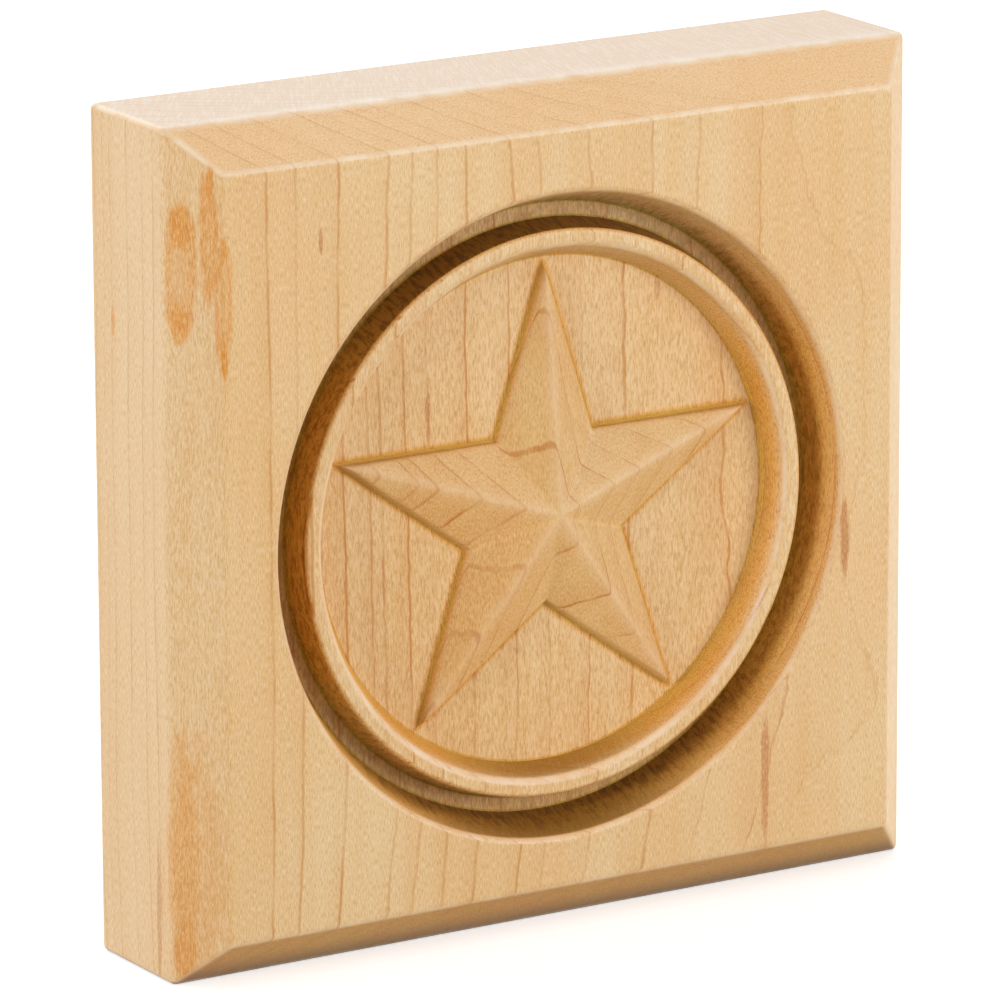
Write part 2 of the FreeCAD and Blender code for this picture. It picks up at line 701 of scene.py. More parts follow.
    def sizes(self) -> Dict[str, float]:
        """Sizes that the rule for the block's shell takes.

        Returns:
            The sizes by the names of the rule's inputs.
        """
        return {
            "Front": self.low.y, "Middle": (self.low.z + self.high.z) / 2,
            "Recess Drop": self.recess_drop, "Tip Radius": self.tip_radius,
            "Apex Rise": self.star_rise, "Tip Wall": self.tip_wall, "Valley Wall": self.valley_wall,
            "Ridge Softness": self.ridge_softness, "Ridge Band": self.ridge_band,
            "Ridge Rub And Glint": self.ridge_rub_and_glint, "Field Edge": self.field_edge,
            "Corner Share": self.arris / self.half_side,
        }

    def shell_tree(self) -> bpy.types.NodeTree:
        """The rule that bends the section round the block.

        Returns:
            A tree whose named inputs are the block's sizes.
        """
        tree = bpy.data.node_groups.new("rosette_shell", "GeometryNodeTree")
        graph = Graph(tree)
        sockets = [("Section", "NodeSocketGeometry"), ("Rows", "NodeSocketInt"),
                   ("Columns", "NodeSocketInt"), ("Finish", "NodeSocketMaterial")]
        sockets += [(name, "NodeSocketFloat") for name in self.sizes()]
        for name, kind in sockets:
            tree.interface.new_socket(name, in_out="INPUT", socket_type=kind)
        tree.interface.new_socket("Block", in_out="OUTPUT", socket_type="NodeSocketGeometry")
        given = graph.add("NodeGroupInput")
        rows = given.out("Rows")
        columns = given.out("Columns")

        grid = graph.add("GeometryNodeMeshGrid", None,
                         {"Vertices X": columns, "Vertices Y": rows}, "Mesh")
        index = graph.add("GeometryNodeInputIndex")
        column = graph.math("FLOOR", (index + 0.5) / rows)
        row = index - column * rows

        def carried(carry: Carry, place: Term) -> Term:
            """Read a carried value at a place in the section."""
            value = graph.add("GeometryNodeInputNamedAttribute", {"data_type": "FLOAT"},
                              {"Name": carry.value}, "Attribute")
            return graph.add("GeometryNodeSampleIndex", {"data_type": "FLOAT", "domain": "POINT"},
                             {"Geometry": given, "Value": value, "Index": place}, "Value")

        bearing = carried(Carry.BEARING, rows + column)
        across = graph.math("COSINE", bearing)
        up = graph.math("SINE", bearing)
        reach_of_star, rise, ridge = self.star_rule(graph, given, bearing, carried(Carry.STAR, row))
        ring = carried(Carry.RING, row)
        round_reach = (reach_of_star + ring).at_most(ring.at_least(given.out("Field Edge")))
        square_half = carried(Carry.SQUARE, row)
        square, hip = self.square_rule(given, across, up)
        square_reach = square_half * square
        lift = carried(Carry.LIFT, row)
        depth = carried(Carry.DEPTH, row) - lift * rise
        inside = 1 - (square_half / (self.half_side / 2)).at_most(1.0)
        height = (given.out("Middle") - given.out("Recess Drop") * inside
                  + (round_reach + square_reach) * up)
        place = graph.combine((round_reach + square_reach) * across, given.out("Front") + depth, height)

        shape = graph.add("GeometryNodeSetPosition", None, {"Geometry": grid, "Position": place})
        # Paleness along arrises, hips and ridges: a rub with a painted highlight.
        rub_and_glint = carried(Carry.RUB_AND_GLINT, row).at_least(hip * (1 - inside)).at_least(ridge * lift)
        stored = {Carry.LIFT: lift, Carry.HOLLOW: carried(Carry.HOLLOW, row),
                  Carry.TORN: carried(Carry.TORN, row), Carry.RUB_AND_GLINT: rub_and_glint}
        for carry, value in stored.items():
            shape = graph.add("GeometryNodeStoreNamedAttribute",
                              {"data_type": "FLOAT", "domain": "POINT"},
                              {"Geometry": shape, "Name": carry.value, "Value": value})
        shape = graph.add("GeometryNodeMergeByDistance", None,
                          {"Geometry": shape, "Distance": self.weld})
        angle = graph.add("GeometryNodeInputMeshEdgeAngle", None, None, "Unsigned Angle")
        soft_edge = angle < math.radians(self.crease_angle)
        shape = graph.add("GeometryNodeSetShadeSmooth", {"domain": "EDGE"},
                          {"Geometry": shape, "Shade Smooth": soft_edge})
        shape = graph.add("GeometryNodeRealizeInstances", None, {"Geometry": shape})
        shape = graph.add("GeometryNodeSetMaterial", None,
                          {"Geometry": shape, "Material": given.out("Finish")})
        graph.add("NodeGroupOutput", None, {"Block": shape})
        return tree

    def star_rule(self, graph: Graph, given: Term, bearing: Term, share: Term) -> Tuple[Term, ...]:
        """Reach and height of the star in one direction.

        Args:
            graph: Where the nodes go.
            given: The tree's inputs.
            bearing: Direction out from the apex.
            share: Share of the star's outline.

        Returns:
            The reach at that share, the height of the facet there above the field, and how pale it is as
            part of a ridge, a rub with a painted highlight.
        """
        wedge = math.pi / self.star_points
        tip = self.half_tip_angle
        full_turn = 2 * math.pi

        def outline(turn: Term) -> Term:
            """Reach of a straight edge at a turn away from the tip."""
            return given.out("Tip Radius") * math.sin(tip) / graph.math("SINE", turn + tip)

        turn = graph.math("PINGPONG", bearing + (full_turn - math.pi / 2), wedge)
        reach = share * outline(turn)
        nearest_reach, widest_turn = 0.1 * MM, 0.2
        soft = (given.out("Ridge Softness") / reach.at_least(nearest_reach)).at_most(widest_turn)
        rest = wedge - turn
        eased = (turn ** 2 + soft ** 2).root() + rest - (rest ** 2 + soft ** 2).root()
        edge_share = (graph.math("SINE", eased) / graph.math("SINE", eased + tip)
                      * (math.sin(wedge + tip) / math.sin(wedge)))
        wall = given.out("Tip Wall") + (given.out("Valley Wall") - given.out("Tip Wall")) * edge_share
        apex = given.out("Apex Rise")
        down = ((reach / outline(eased)) ** 2 + self.apex_softness ** 2).root()
        # A pale band along each ridge: a rub with a painted highlight.
        off_ridge = graph.math("SINE", turn) * reach / given.out("Ridge Band")
        ridge = (1 - off_ridge).at_least(0.0) * given.out("Ridge Rub And Glint")
        return reach, apex + (wall - apex) * down, ridge

    def square_rule(self, given: Term, across: Term, up: Term) -> Tuple[Term, Term]:
        """Reach of a square with rounded corners and a half side of one.

        Args:
            given: The tree's inputs.
            across: Cosine of the bearing.
            up: Sine of the bearing.

        Returns:
            The reach in that direction, and a share that grows to one at the middle of a corner.
        """
        long_leg = abs(across).at_least(abs(up))
        short_leg = abs(across).at_most(abs(up))
        inset = 1 - given.out("Corner Share")
        along = inset * (long_leg + short_leg)
        under_root = along ** 2 - 2 * inset ** 2 + given.out("Corner Share") ** 2
        arc = along + under_root.at_least(0.0).root()
        flat = 1 / long_leg
        in_corner = short_leg > inset * long_leg
        hip_width = self.hip_spread * given.out("Corner Share")
        hip = (short_leg / long_leg - 1 + hip_width).at_least(0.0) / hip_width
        return flat + (arc - flat) * in_corner, hip

    def build(self) -> bpy.types.Object:
        """Make the block's mesh.

        Returns:
            The finished object, at the origin, with its place in its mesh.
        """
        rows = self.star_rows() + self.recess_rows() + self.outer_rows()
        bearings = self.bearings()
        piece = bpy.data.objects.new(NODE + "_wood", self.section_mesh(rows, bearings))
        bpy.context.collection.objects.link(piece)
        tree = self.shell_tree()
        shell = piece.modifiers.new("shell", "NODES")
        shell.node_group = tree
        values = {"Rows": len(rows), "Columns": len(bearings), "Finish": self.finish.material(),
                  **self.sizes()}
        for socket in tree.interface.items_tree:
            if socket.in_out == "INPUT" and socket.name in values:
                shell[socket.identifier] = values[socket.name]
        graph = bpy.context.evaluated_depsgraph_get()
        mesh = bpy.data.meshes.new_from_object(piece.evaluated_get(graph))
        section = piece.data
        piece.modifiers.remove(shell)
        piece.data = mesh
        mesh.name = piece.name
        bpy.data.meshes.remove(section)
        return piece


@dataclass(frozen=True)
class RingLine:
    """A growth ring's dark line.

    Attributes:
        across: Where it lies, across from the middle of the face.
        strength: How dark it is.
        behind: How far behind the face it lies there; a ring that starts there shows only in the recess.
        half_width: Half its width where it meets the surface.
    """

    across: float
    strength: float = 0.5
    behind: float = 0.0
    half_width: float = 0.25


class Stain(Enum):
    """What a mark in the wood is made of, and what it leaves of the wood's colour."""

    RESIN = (0.92, 0.60, 0.22)
    MINERAL = (0.68, 0.40, 0.18)


@dataclass(frozen=True)
class Mark:
    """A stained spot in the wood.

    Attributes:
        place: Its middle in millimetres from the middle of the front face: across, behind, up.
        half_size: Half its thickness across the grain, and half its length.
        strength: How strongly it shows.
        core: How much of that strength its middle has.
        stain: What it is made of.
    """

    place: Tuple[float, float, float]
    half_size: Tuple[float, float]
    strength: float
    core: float = 1.0
    stain: Stain = Stain.MINERAL


class Surface:
    """What the wood's looks depend on at the place that is being shaded.

    Attributes:
        graph: Where the nodes go.
        place: Place in the wood, in millimetres from the middle of the front face.
        across: How far that is to the right.
        behind: How far it is to the back.
        up: How far it is up along the grain.
        upward: How much the surface looks up, from -1 to 1.
        sideways: How much it looks left or right, from 0 to 1.
        under: One where it looks well down, zero elsewhere.
        level: One where it lies across the grain, zero elsewhere.
        hollow: How much it lies in a corner, where the finish gathers and shade is painted.
        finish_and_shade: How much finish and painted shade there is, full from the middle of hollow on.
        outside: What finish_and_shade leaves.
        rub_and_glint: How pale it is, from a rub and a painted highlight.
        in_recess: One in the recess, zero elsewhere.
        in_groove: One in the groove, zero elsewhere.
        on_floor: One on the groove's floor, zero elsewhere.
        on_star: One on the star, zero elsewhere.
        fibres: Fine short fibres along the grain, about 0.5.
        strokes: Strokes of the cutter, about 0.5, along the grain on upright walls and down the others.
    """

    def __init__(self, graph: Graph, centre: Vector) -> None:
        """Read what the mesh carries and work out the rest.

        Args:
            graph: Where the nodes go.
            centre: Middle of the front face.
        """
        self.graph = graph
        place = graph.add("ShaderNodeTexCoord", None, None, "Object")
        place = graph.vector("SUBTRACT", {0: place, 1: tuple(centre)})
        self.place = graph.vector("SCALE", {0: place, "Scale": 1 / MM})
        self.across = graph.add("ShaderNodeSeparateXYZ", None, {"Vector": self.place}, "X")
        self.behind = self.across.out("Y")
        self.up = self.across.out("Z")
        normal = graph.add("ShaderNodeTexCoord", None, None, "Normal")
        self.upward = graph.add("ShaderNodeSeparateXYZ", None, {"Vector": normal}, "Z")
        self.sideways = abs(self.upward.out("X"))
        self.under = (0 - self.upward).ramp(0.3, 0.75)
        self.level = abs(self.upward).ramp(0.75, 0.98)
        # hollow drives both the pooled finish and the painted shade.
        self.hollow = self.carried(Carry.HOLLOW)
        self.finish_and_shade = (self.hollow / 0.5).at_most(1.0)
        self.outside = 1 - self.finish_and_shade
        # Paleness of arrises and ridges: a rub with a painted highlight.
        self.rub_and_glint = self.carried(Carry.RUB_AND_GLINT)
        torn = self.carried(Carry.TORN)
        self.in_recess = self.hollow.ramp(0.04, 0.1)
        self.in_groove = (torn / 0.5).at_most(1.0)
        self.on_floor = torn.ramp(0.6, 1.0)
        self.on_star = (self.carried(Carry.LIFT) / 0.2).at_most(1.0)
        self.fibres = self.grain(9.0, 1.5, 2.0, 0.6)
        along = self.noise((2.4, 2.2, 0.55), 2.0, 0.6)
        down = self.noise((2.4, 0.5, 0.9), 2.0, 0.6)
        self.strokes = along + (down - along) * abs(self.upward).ramp(0.4, 0.8)

    def carried(self, carry: Carry) -> Term:
        """A value that the block's mesh carries."""
        return self.graph.add("ShaderNodeAttribute", {"attribute_name": carry.value}, None, "Fac")

    def noise(self, swells: Tuple[float, float, float], detail: float, roughness: float) -> Term:
        """Noise about 0.5, with its swells in a millimetre to the right, to the back and up."""
        stretched = self.graph.vector("MULTIPLY", {0: self.place, 1: swells})
        return self.graph.noise(stretched, detail, roughness)

    def grain(self, across: float, along: float, detail: float = 2.0, roughness: float = 0.5) -> Term:
        """Noise about 0.5, with its swells in a millimetre across and along the grain."""
        return self.noise((across, across, along), detail, roughness)


@dataclass(frozen=True)
class MapleFinish:
    """Hard maple, sanded and clear coated.

    Attributes:
        centre: Middle of the front face, from which the wood's own millimetres are counted.
        pith: Middle of the tree, across and behind the middle of the front face.
        ring_tilt: How much further from the pith a place lies for each millimetre up.
        hook_height: Height below which the rings lean away from the pith.
        hook_length: How far below that they lean by the depth.
        hook_depth: How far they lean there.
        star_tilt: What the star adds to the tilt.
        star_shift: How much nearer to the pith the rings lie in the star.
        pale: Colour of the lightest wood.
        warm: Colour of the yellower wood.
        blush: Colour of the pinker wood.
        line: Colour of the ring lines.
        lit_slant: Colour of the wood on a bevel that looks up, lighter there as painted light from
            above.
        edge_on: Colour of the wood on the left and right sides.
        fibre: What a dark fibre leaves of each colour.
        stroke_and_shade: What a cutter's mark leaves of each colour in the recess, also used as painted
            shade on the groove's walls that look up.
        amber_and_shade: What pooled finish and painted warm shade leave of each colour on a recess's
            walls and on surfaces that look down.
        soaked_and_shade: What is left of that where those walls look up, partly finish taken up by the
            open grain and partly painted shade.
        shade: What painted shade leaves in the tightest corners and on surfaces that look down.
        tear: What is left where the cutter tore the fibres.
        foot_shade: What painted shade leaves at the edge that the block stands on.
        end_grain: Colour of the sanded wood across the grain.
        pale_and_glint: Colour of pale fibres and rays, and of arrises that are pale from a rub and a
            painted highlight.
        foot_shade_band: Heights from the middle of the face between which that painted shade fades out.
        late_wood: How far beyond a ring line the wood is a little darker.
        slow_wander: How far the rings stray over long stretches.
        quick_wander: How far they stray over short ones.
        roughness: Roughness of the sanded face, to which hollows and fibres add.
        gloss: Strength of reflections.
        bump_strength: How much the fibres stand out.
        bump_height: How high they stand.
        rings: Growth rings that show as lines.
        marks: Stained spots.
    """

    centre: Vector
    pith: Tuple[float, float] = (42.0, 126.0)
    ring_tilt: float = -0.0067
    hook_height: float = -15.0
    hook_length: float = 29.0
    hook_depth: float = 0.9
    star_tilt: float = -0.03
    star_shift: float = 0.6
    pale: Colour = (0.76, 0.55, 0.29)
    warm: Colour = (0.72, 0.46, 0.19)
    blush: Colour = (0.75, 0.48, 0.22)
    line: Colour = (0.56, 0.25, 0.045)
    lit_slant: Colour = (0.88, 0.57, 0.31)
    edge_on: Colour = (0.84, 0.66, 0.46)
    fibre: Colour = (0.72, 0.56, 0.42)
    stroke_and_shade: Colour = (0.68, 0.64, 0.48)
    amber_and_shade: Colour = (0.95, 0.69, 0.26)
    soaked_and_shade: Colour = (0.37, 0.29, 0.07)
    shade: Colour = (0.66, 0.86, 0.46)
    tear: Colour = (0.63, 0.65, 0.64)
    foot_shade: Colour = (0.14, 0.12, 0.10)
    end_grain: Colour = (0.82, 0.65, 0.49)
    pale_and_glint: Colour = (0.95, 0.87, 0.76)
    foot_shade_band: Tuple[float, float] = (-45.6, -41.2)
    late_wood: float = 0.9
    slow_wander: float = 1.6
    quick_wander: float = 0.22
    roughness: float = 0.38
    gloss: float = 0.4
    bump_strength: float = 0.25
    bump_height: float = 0.04 * MM
    rings: Tuple[RingLine, ...] = (
        RingLine(-40.5, 0.2), RingLine(-34.6, 0.6), RingLine(-31.2, 0.5), RingLine(-26.2, 0.65),
        RingLine(-20.5, 0.6), RingLine(-17.8, 0.35), RingLine(-14.6, 0.6), RingLine(-11.0, 0.55),
        RingLine(-5.7, 0.6), RingLine(-2.2, 0.35), RingLine(3.8, 0.6), RingLine(10.9, 0.6),
        RingLine(17.0, 0.35), RingLine(26.5, 0.6), RingLine(33.0, 0.25),
        RingLine(-19.2, 0.5, 4.5), RingLine(10.5, 0.7, 4.5, 0.3), RingLine(22.3, 0.6, 4.5, 0.25),
    )
    marks: Tuple[Mark, ...] = (
        Mark((-43.1, 3.15, 29.6), (1.8, 7.6), 0.85, 0.45, Stain.RESIN),
        Mark((-43.1, 3.15, 34.4), (1.5, 2.8), 1.0, 1.0, Stain.RESIN),
        Mark((-43.3, 3.35, 24.8), (1.3, 2.6), 0.95, 1.0, Stain.RESIN),
        Mark((-41.0, 1.05, 33.4), (1.1, 7.4), 0.95, 0.7, Stain.RESIN),
        Mark((-40.9, 0.95, 39.0), (0.5, 2.4), 1.0, 1.0, Stain.RESIN),
        Mark((-40.0, 0.05, 27.0), (1.1, 7.8), 0.95, 0.4, Stain.RESIN),
        Mark((-40.0, 0.05, 20.8), (0.5, 2.0), 1.0, 1.0, Stain.RESIN),
        Mark((-42.6, 2.65, -33.0), (3.9, 16.0), 0.35, 1.0, Stain.RESIN),
        Mark((-43.4, 3.45, -32.0), (2.2, 15.0), 0.60, 1.0, Stain.RESIN),
        Mark((-43.6, 3.65, -27.0), (1.1, 4.5), 0.70, 1.0, Stain.RESIN),
        Mark((-43.4, 3.45, -40.5), (1.5, 4.0), 0.80, 1.0, Stain.RESIN),
        Mark((-44.45, 6.9, -38.0), (0.5, 9.5), 0.60),
        Mark((-44.45, 14.6, 22.8), (0.4, 1.6), 0.7, 1.0, Stain.RESIN),
        Mark((34.4, 0.0, -7.6), (0.6, 4.8), 0.85),
        Mark((24.6, 0.0, -32.0), (0.55, 7.8), 0.70),
        Mark((-28.8, 0.0, 31.9), (0.25, 1.5), 0.80),
        Mark((12.7, 0.0, 27.2), (0.3, 0.4), 0.80),
        Mark((-13.7, 4.5, 11.7), (0.35, 3.4), 0.60),
        Mark((14.0, 4.5, 21.2), (0.35, 1.7), 0.60),
        Mark((0.4, 3.4, 16.8), (0.45, 1.5), 0.75),
        Mark((-17.0, 4.0, 25.8), (0.6, 0.8), 0.85),
    )

    def material(self) -> bpy.types.Material:
        """Build the wood.

        Returns:
            The material.
        """
        material = bpy.data.materials.new(SLOT)
        material.use_nodes = True
        material.node_tree.nodes.clear()
        graph = Graph(material.node_tree)
        here = Surface(graph, self.centre)
        colour = self.wood_colour(here)
        colour = self.cutter_marks(here, colour)
        colour = self.pooled_finish_and_shade(here, colour)
        colour = self.foot_shade_rubs_and_glints(here, colour)
        bump = graph.add("ShaderNodeBump", None, {
            "Strength": self.bump_strength, "Distance": self.bump_height, "Height": here.fibres})
        rough = self.roughness + here.hollow * 0.3 + here.fibres * 0.1
        shader = graph.add("ShaderNodeBsdfPrincipled", None, {
            "Base Color": colour, "Roughness": rough, "Specular IOR Level": self.gloss, "Normal": bump})
        graph.add("ShaderNodeOutputMaterial", None, {"Surface": shader})
        return material

    def wood_colour(self, here: Surface) -> Term:
        """Colour of the sanded wood with its rings, stains and fibres.

        Args:
            here: What the looks depend on.

        Returns:
            The colour.
        """
        side_share, slant_share, end_share, ray_share, pale_share = 0.35, 0.6, 0.85, 0.4, 0.28
        on_side = here.sideways.ramp(0.5, 0.95) * here.outside
        # The bevel that looks up gets a lighter colour, painted light from above.
        on_slant = here.upward.ramp(0.35, 0.65) * here.outside
        on_end = here.level * here.outside
        distance = self.ring_distance(here)
        colour = self.broad_colour(here)
        colour = colour.mixed(on_side * side_share, self.edge_on)
        colour = colour.mixed(on_slant * slant_share, self.lit_slant)
        colour = colour.mixed(on_end * end_share, self.end_grain)
        colour = colour.mixed(self.rays(here, distance) * here.level * ray_share, self.pale_and_glint)
        colour = colour.mixed(here.fibres.ramp(0.30, 0.52, pale_share, 0.0), self.pale_and_glint)
        sloping = abs(here.upward).ramp(0.35, 0.65)
        lines = self.ring_lines(here, distance) * (1 - sloping * 0.5) * (1 - on_side * 0.4)
        colour = colour.mixed(lines, self.line)
        taken_up = (0.7 + 0.5 * here.fibres.ramp(0.35, 0.6)).at_most(1.0)
        for stain in Stain:
            colour = colour.mixed(self.stains(here, stain) * taken_up, stain.value, "MULTIPLY")
        contrast = (0.55 + here.hollow * 2 + here.under * 0.4).at_most(1.0)
        contrast = contrast * (1 - on_end * 0.4) * (1 - here.on_star * 0.4)
        return colour.mixed(here.fibres.ramp(0.48, 0.70) * contrast, self.fibre, "MULTIPLY")

    def cutter_marks(self, here: Surface, colour: Term) -> Term:
        """Darken the groove's strokes and torn fibres, and paint shade on its walls that look up.

        Args:
            here: What the looks depend on.
            colour: Colour without them.

        Returns:
            Colour with them.
        """
        on_wall = here.in_groove * (1 - here.on_floor * 0.8)
        streaks = here.strokes.ramp(0.45, 0.62)
        colour = colour.mixed(on_wall * streaks, self.stroke_and_shade, "MULTIPLY")
        # Walls in the groove that look up are darkened, by torn fibres and by painted shade.
        fuzz_and_shade = on_wall * here.upward.ramp(0.4, 0.8) * (0.5 + 0.5 * streaks)
        colour = colour.mixed(fuzz_and_shade, self.stroke_and_shade, "MULTIPLY")
        torn = here.on_floor * here.strokes.ramp(0.4, 0.6, 0.55, 1.0)
        return colour.mixed(torn, self.tear, "MULTIPLY")

    def pooled_finish_and_shade(self, here: Surface, colour: Term) -> Term:
        """Darken the places where the finish gathers or soaks in, and paint shade in the recess's
        corners, on its walls that look up and on surfaces that look down.

        Args:
            here: What the looks depend on.
            colour: Colour of the wood.

        Returns:
            Colour under the finish.
        """
        # Surfaces that look down get painted shade; the recess gets pooled finish with painted warm
        # shade.
        below = here.under * here.outside
        amber_and_shade = (here.finish_and_shade * (1 - here.under * 0.55)).at_least(below)
        colour = colour.mixed(amber_and_shade, self.amber_and_shade, "MULTIPLY")
        # Recess walls and star facets that look up are darkened, partly by finish in the open grain and
        # partly by painted shade.
        facing_up = here.upward.ramp(0.75, 0.98).at_least(here.in_groove * here.upward.ramp(0.5, 0.95))
        soaked_and_shade = (here.hollow / 0.3).at_most(1.0) * facing_up * (1 - here.on_star * 0.45)
        soaked_and_shade = soaked_and_shade.at_least(here.on_star * here.upward.ramp(0.02, 0.12, 0.0, 0.12))
        colour = colour.mixed(soaked_and_shade, self.soaked_and_shade, "MULTIPLY")
        # Painted shade in the tightest corners and on surfaces that look down.
        shaded = (here.hollow.ramp(0.5, 1.0) * (1 - soaked_and_shade * 0.7)).at_least(below * 0.3)
        return colour.mixed(shaded, self.shade, "MULTIPLY")

    def foot_shade_rubs_and_glints(self, here: Surface, colour: Term) -> Term:
        """Paint shade at the edge that the block stands on, and make the arrises pale with a rub and a
        painted highlight.

        Args:
            here: What the looks depend on.
            colour: Colour without them.

        Returns:
            Colour with them.
        """
        # Painted shade that darkens the edge the block stands on, most at the bottom.
        low = here.under * here.outside * here.up.ramp(*self.foot_shade_band, 1.0, 0.0)
        colour = colour.mixed(low, self.foot_shade, "MULTIPLY")
        # Arrises are made pale: a rub, and a painted highlight that is stronger where the edge looks up.
        facing_glint = here.upward.ramp(0.05, 0.3).at_least((0 - here.upward).ramp(0.05, 0.3, 0.0, 0.55))
        uneven = here.grain(0.3, 0.3, 3.0, 0.6).ramp(0.35, 0.62, 0.4, 1.1)
        bare_and_glint = here.rub_and_glint * facing_glint.at_least(here.hollow.ramp(0.05, 0.15)) * uneven
        return colour.mixed(bare_and_glint * here.fibres.ramp(0.3, 0.65, 0.2, 0.65), self.pale_and_glint)

    def broad_colour(self, here: Surface) -> Term:
        """The wood's slow change between pale, yellow and pink.

        Args:
            here: What the looks depend on.

        Returns:
            The colour.
        """
        yellower = here.grain(0.07, 0.02).ramp(0.35, 0.65, 0.0, 0.7)
        bands = here.grain(0.5, 0.03).ramp(0.4, 0.65, 0.0, 0.3)
        pinker = here.grain(0.16, 0.045).ramp(0.45, 0.7, 0.0, 0.5)
        return here.graph.mix(yellower + bands, self.pale, self.warm).mixed(pinker, self.blush)

    def ring_distance(self, here: Surface) -> Term:
        """Distance from the middle of the tree, wandering a little as real rings do.

        Args:
            here: What the looks depend on.

        Returns:
            The distance in millimetres.
        """
        tilt = self.ring_tilt + here.on_star * self.star_tilt
        straight = ((here.across - self.pith[0]) ** 2 + (here.behind - self.pith[1]) ** 2).root()
        bend = (self.hook_height - here.up).at_least(0.0) / self.hook_length
        distance = (straight + here.up * tilt - bend ** 2 * self.hook_depth
                    + here.on_star * self.star_shift)
        steady = here.in_recess * 0.75 + here.on_star * 0.15
        slow = here.grain(0.05, 0.03, 1.0) - 0.5
        quick = here.grain(0.5, 0.25) - 0.5
        return distance + slow * (1 - steady) * self.slow_wander + quick * self.quick_wander

    def rays(self, here: Surface, distance: Term) -> Term:
        """Pale rays that run out from the middle of the tree.

        Args:
            here: What the looks depend on.
            distance: Distance from the middle of the tree.

        Returns:
            Their share.
        """
        turn = here.graph.math("ARCTAN2", here.across - self.pith[0], here.behind - self.pith[1])
        swells_in_turn, swells_along = self.pith[1] * 3.5, 0.3
        spread = here.graph.combine(
            turn * swells_in_turn, distance * swells_along, here.up * swells_along)
        return here.graph.noise(spread, 2.0, 0.6).ramp(0.42, 0.72)

    def ring_lines(self, here: Surface, distance: Term) -> Term:
        """Share of the dark lines.

        Args:
            here: What the looks depend on.
            distance: Distance from the middle of the tree.

        Returns:
            The share, which comes and goes along each line.
        """
        def line_share(ring: RingLine) -> Term:
            """Share of one line and of the late wood beyond it.

            Args:
                ring: The ring.

            Returns:
                Its share.
            """
            at = math.hypot(ring.across - self.pith[0], self.pith[1] - ring.behind)
            away = distance - at
            half_width = ring.half_width * (self.pith[0] - ring.across) / at
            crisp = abs(away).ramp(half_width * 0.3, half_width, ring.strength, 0.0)
            share = crisp.at_least((away > 0.0) * away.slope(self.late_wood, ring.strength * 0.25, 0.0))
            return share * here.in_recess if ring.behind else share

        patches = here.grain(0.3, 0.09).ramp(0.35, 0.6, 0.45, 1.25)
        strongest = reduce(Term.at_least, [line_share(ring) for ring in self.rings])
        return strongest * patches * (1 + 0.25 * here.in_recess)

    def stains(self, here: Surface, stain: Stain) -> Term:
        """Share of one kind of stain.

        Args:
            here: What the looks depend on.
            stain: The kind.

        Returns:
            The strongest share of all marks of that kind.
        """
        ragged = (here.grain(1.6, 0.3, 3.0, 0.65) - 0.5) * 1.2

        def mark_share(mark: Mark) -> Term:
            """Share of one mark, ragged at its edge.

            Args:
                mark: The mark.

            Returns:
                Its share.
            """
            thick, length = mark.half_size
            scale = Vector((1 / thick, 1 / thick, 1 / length))
            middle = -Vector(mark.place) * scale
            away = here.graph.vector("MULTIPLY_ADD", {0: here.place, 1: scale, 2: middle})
            reach = here.graph.vector("LENGTH", {0: away}, "Value") + ragged
            share = reach.ramp(0.6, 1.1, mark.strength, 0.0)
            return share * reach.ramp(0.3, 0.8, mark.core, 1.0) if mark.core < 1 else share

        return reduce(Term.at_least, [mark_share(mark) for mark in self.marks if mark.stain is stain])


@dataclass(frozen=True)
class Lamp:
    """A soft rectangular lamp that looks at the block.

    Attributes:
        name: What it is called.
        place: Where it hangs.
        size: Its width and height.
        power: Its power in watts.
    """

    name: str
    place: Tuple[float, float, float]
    size: Tuple[float, float]
    power: float


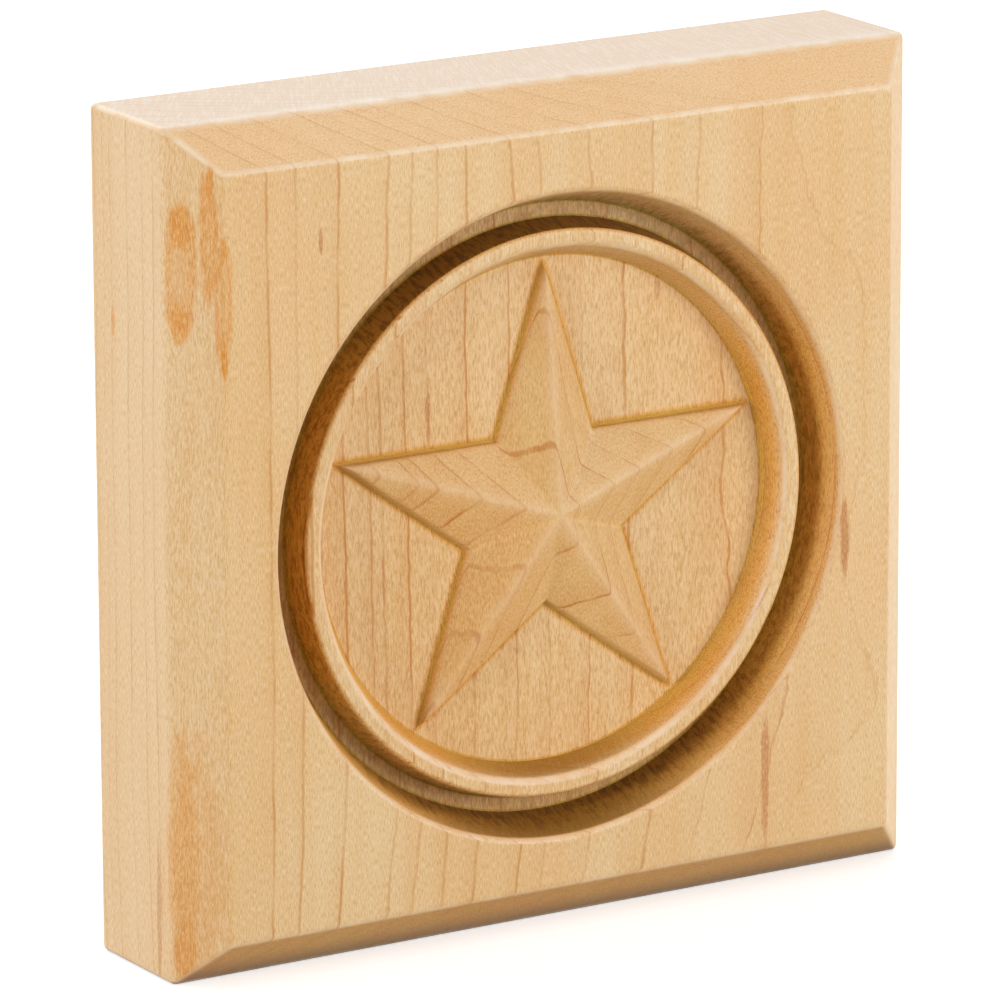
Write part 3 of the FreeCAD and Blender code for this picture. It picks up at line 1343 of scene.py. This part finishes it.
@dataclass
class Studio:
    """Floor, daylight, lamps and camera.

    Attributes:
        target: Middle of the front face, which the camera and the lamps refer to.
        unit: Side of the block, in which the camera's place is given.
        floor_size: Side of the floor.
        floor_shown: Colour of the floor as it is seen.
        floor_glow: Light that the floor adds to what is seen of it.
        floor_thrown: Colour of the light that it throws back at the block.
        sky_strength: Daylight that falls on the block; what is seen of the sky is white.
        yaw: Turn of the camera to the right, in radians.
        pitch: Its turn down.
        roll: Its turn about its own axis.
        distance: From the camera to the level of the target.
        shift_right: How far the camera stands to the right of the target, in its own frame.
        shift_up: How far it stands above it, in its own frame.
        focal_pixels: Focal length in pixels of the picture.
        image_pixels: Width of the picture.
        sensor: Width of the sensor in millimetres.
        lamps: The lamps.
    """

    target: Vector
    unit: float
    floor_size: float = 12.0
    floor_shown: Colour = (0.8, 0.8, 0.8)
    floor_glow: float = 0.55
    floor_thrown: Colour = (0.42, 0.32, 0.19)
    sky_strength: float = 0.52
    yaw: float = 0.55286
    pitch: float = 0.25395
    roll: float = -0.00399
    distance: float = 9.91124
    shift_right: float = -0.07559
    shift_up: float = 0.01344
    focal_pixels: float = 8610.84
    image_pixels: float = 1000.0
    sensor: float = 36.0
    lamps: Tuple[Lamp, ...] = (
        Lamp("right", (0.91, -1.06, 0.09), (0.8, 0.7), 19.0),
        Lamp("left", (-1.21, -0.28, 0.10), (0.4, 0.8), 12.0),
        Lamp("far left", (-1.19, 0.38, 0.15), (0.6, 0.7), 0.6),
        Lamp("back", (0.10, 0.90, 1.00), (1.0, 0.7), 7.5),
    )

    def build(self) -> None:
        """Set up everything round the block."""
        self.add_floor()
        self.add_sky()
        for lamp in self.lamps:
            self.add_lamp(lamp)
        self.add_camera()
        bpy.context.scene.view_settings.view_transform = "Standard"

    def seen_directly(self, graph: Graph) -> Term:
        """One for what the camera, a reflection or clear glass sees, zero for other light."""
        path = graph.add("ShaderNodeLightPath", None, None, "Is Camera Ray")
        return path.at_least(path.out("Is Glossy Ray")).at_least(path.out("Is Transmission Ray"))

    def add_floor(self) -> None:
        """Lay the pale floor, which throws back less light than it shows."""
        half = self.floor_size / 2
        mesh = bpy.data.meshes.new("floor")
        mesh.from_pydata([(-half, -half, 0), (half, -half, 0), (half, half, 0), (-half, half, 0)],
                         [], [(0, 1, 2, 3)])
        floor = bpy.data.objects.new("floor", mesh)
        bpy.context.collection.objects.link(floor)
        material = bpy.data.materials.new("floor")
        material.use_nodes = True
        material.node_tree.nodes.clear()
        graph = Graph(material.node_tree)
        lit = graph.add("ShaderNodeBsdfDiffuse", None, {"Color": (*self.floor_shown, 1)})
        glow = graph.add("ShaderNodeEmission", None,
                         {"Color": (1, 1, 1, 1), "Strength": self.floor_glow})
        shown = graph.add("ShaderNodeAddShader", None, {0: lit, 1: glow})
        thrown = graph.add("ShaderNodeBsdfDiffuse", None, {"Color": (*self.floor_thrown, 1)})
        both = graph.add("ShaderNodeMixShader", None,
                         {0: self.seen_directly(graph), 1: thrown, 2: shown})
        graph.add("ShaderNodeOutputMaterial", None, {"Surface": both})
        mesh.materials.append(material)

    def add_sky(self) -> None:
        """Even white daylight all round."""
        world = bpy.data.worlds.new("daylight")
        bpy.context.scene.world = world
        world.use_nodes = True
        world.node_tree.nodes.clear()
        graph = Graph(world.node_tree)
        strength = self.sky_strength + (1 - self.sky_strength) * self.seen_directly(graph)
        sky = graph.add("ShaderNodeBackground", None, {"Color": (1, 1, 1, 1), "Strength": strength})
        graph.add("ShaderNodeOutputWorld", None, {"Surface": sky})

    def add_lamp(self, lamp: Lamp) -> None:
        """Hang one lamp and turn it to the block.

        Args:
            lamp: The lamp.
        """
        light = bpy.data.lights.new(lamp.name, "AREA")
        light.shape = "RECTANGLE"
        light.size, light.size_y = lamp.size
        light.energy = lamp.power
        holder = bpy.data.objects.new(lamp.name, light)
        holder.location = lamp.place
        holder.rotation_euler = (self.target - Vector(lamp.place)).to_track_quat("-Z", "Y").to_euler()
        bpy.context.collection.objects.link(holder)

    def add_camera(self) -> None:
        """Put the camera where the photograph was taken from."""
        ahead = Vector((math.sin(self.yaw) * math.cos(self.pitch),
                        math.cos(self.yaw) * math.cos(self.pitch), -math.sin(self.pitch)))
        level = Vector((math.cos(self.yaw), -math.sin(self.yaw), 0.0))
        upright = level.cross(ahead)
        right = math.cos(self.roll) * level + math.sin(self.roll) * upright
        up = math.cos(self.roll) * upright - math.sin(self.roll) * level
        away = right * self.shift_right + up * self.shift_up - ahead * self.distance
        place = self.target + away * self.unit
        camera = bpy.data.cameras.new("camera")
        camera.sensor_fit = "HORIZONTAL"
        camera.sensor_width = self.sensor
        camera.lens = self.focal_pixels * self.sensor / self.image_pixels
        camera.clip_end = 100.0
        holder = bpy.data.objects.new("camera", camera)
        turned = Matrix((right, up, -ahead)).transposed().to_4x4()
        holder.matrix_world = Matrix.Translation(place) @ turned
        bpy.context.collection.objects.link(holder)
        bpy.context.scene.camera = holder


def main() -> None:
    """Build the block and the studio, and log the block's faces."""
    logging.basicConfig(level=logging.INFO, format="%(name)s: %(message)s")
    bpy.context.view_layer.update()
    low, high = (Vector(corner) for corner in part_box(NODE))
    front = Vector(((low.x + high.x) / 2, low.y, (low.z + high.z) / 2))
    block = RosetteBlock(low, high, MapleFinish(front))
    piece = block.build()
    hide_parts(NODE)
    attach(piece, "root")
    LOG.info("%s: %d faces", piece.name, len(piece.data.polygons))
    Studio(front, high.x - low.x).build()


if __name__ == "__main__":
    main()
